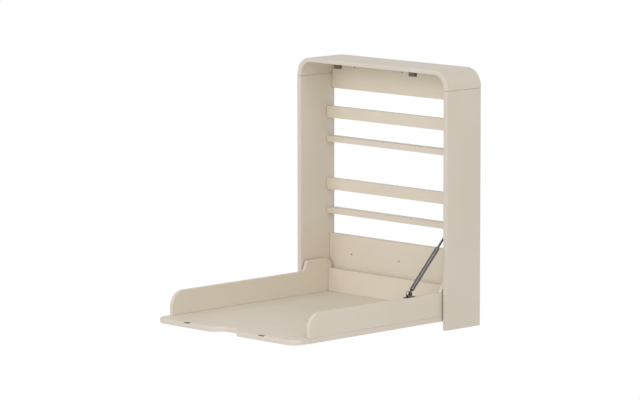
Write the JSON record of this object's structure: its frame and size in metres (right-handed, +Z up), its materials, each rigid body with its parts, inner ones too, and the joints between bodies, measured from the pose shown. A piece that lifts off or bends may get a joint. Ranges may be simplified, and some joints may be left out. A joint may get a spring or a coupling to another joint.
{
  "type": "baby changing station",
  "caption": "Wall-hung changing station: a shallow hooded frame with storage rails and a fold-down tray with low walls, held by a gas strut.",
  "frame": {"origin": "middle of the lower wall rail's back face, on the wall plane", "axes": "+Z up, +Y into the wall, so the front faces -Y; +X to the right as seen from the front"},
  "size_m": [0.61, 0.73, 0.745],
  "materials": {
    "cream_paint": "matte lacquer on board",
    "beech": "raw",
    "zinc_steel": "zinc plated",
    "rod_steel": "dark polished",
    "dark_steel": "satin",
    "tube_enamel": "satin enamel",
    "dark_plastic": "matte",
    "nylon": "matte",
    "rubber": "matte"
  },
  "bodies": {
    "frame": {"hood": "cream_paint", "left_side_panel": "cream_paint", "right_side_panel": "cream_paint", "upper_wall_rail": "cream_paint", "lower_wall_rail": "cream_paint", "lower_shelf": "cream_paint", "upper_shelf": "cream_paint", "lower_guard_rail": "cream_paint", "upper_guard_rail": "cream_paint", "left_catch_housing": "dark_plastic", "right_catch_housing": "dark_plastic", "left_catch_magnet": "dark_steel", "right_catch_magnet": "dark_steel", "left_pivot_bush": "nylon", "right_pivot_bush": "nylon", "left_stop_pad": "rubber", "right_stop_pad": "rubber", "left_upper_rail_dowel": "beech", "left_lower_rail_low_dowel": "beech", "left_lower_rail_high_dowel": "beech", "left_lower_shelf_dowel": "beech", "left_lower_guard_dowel": "beech", "left_upper_shelf_dowel": "beech", "left_upper_guard_dowel": "beech", "left_front_hood_dowel": "beech", "left_rear_hood_dowel": "beech", "right_upper_rail_dowel": "beech", "right_lower_rail_low_dowel": "beech", "right_lower_rail_high_dowel": "beech", "right_lower_shelf_dowel": "beech", "right_lower_guard_dowel": "beech", "right_upper_shelf_dowel": "beech", "right_upper_guard_dowel": "beech", "right_front_hood_dowel": "beech", "right_rear_hood_dowel": "beech"},
    "tray": {"tray_floor": "cream_paint", "left_tray_wall": "cream_paint", "right_tray_wall": "cream_paint", "rear_tray_wall": "cream_paint", "left_strike_plate": "dark_steel", "right_strike_plate": "dark_steel", "left_pivot_pin": "zinc_steel", "right_pivot_pin": "zinc_steel", "left_pivot_spacer": "nylon", "right_pivot_spacer": "nylon", "strut_bracket": "dark_steel", "strut_bracket_pin": "rod_steel", "left_rear_wall_dowel": "beech", "right_rear_wall_dowel": "beech"},
    "strut_tube": {"strut_tube": "tube_enamel", "strut_lower_eye": "zinc_steel", "strut_gland": "dark_plastic"},
    "strut_rod": {"strut_rod": "rod_steel", "strut_piston": "dark_steel", "strut_upper_eye": "zinc_steel", "strut_guide_pin": "zinc_steel", "strut_guide_roller": "nylon"}
  },
  "joints": [
    {"name": "tray_fold", "type": "hinge", "parent": "frame", "child": "tray", "pos_m": [0, -0.086, -0.031], "axis": [-1, 0, 0], "range_deg": [0, 90]},
    {"name": "strut_swing", "type": "hinge", "parent": "tray", "child": "strut_tube", "pos_m": [0.279, -0.268, 0.003], "axis": [-1, 0, 0], "range_deg": [-134.4, 0]},
    {"name": "rod_slide", "type": "slide", "parent": "strut_tube", "child": "strut_rod", "axis": [0, 0.6997, 0.7145], "range_m": [-0.04, 0]}
  ],
  "couplings": [
    {"joint": "strut_swing", "follows": "tray_fold", "ratio": -1.4933},
    {"joint": "rod_slide", "follows": "tray_fold", "m_per_rad": -0.025465}
  ]
}
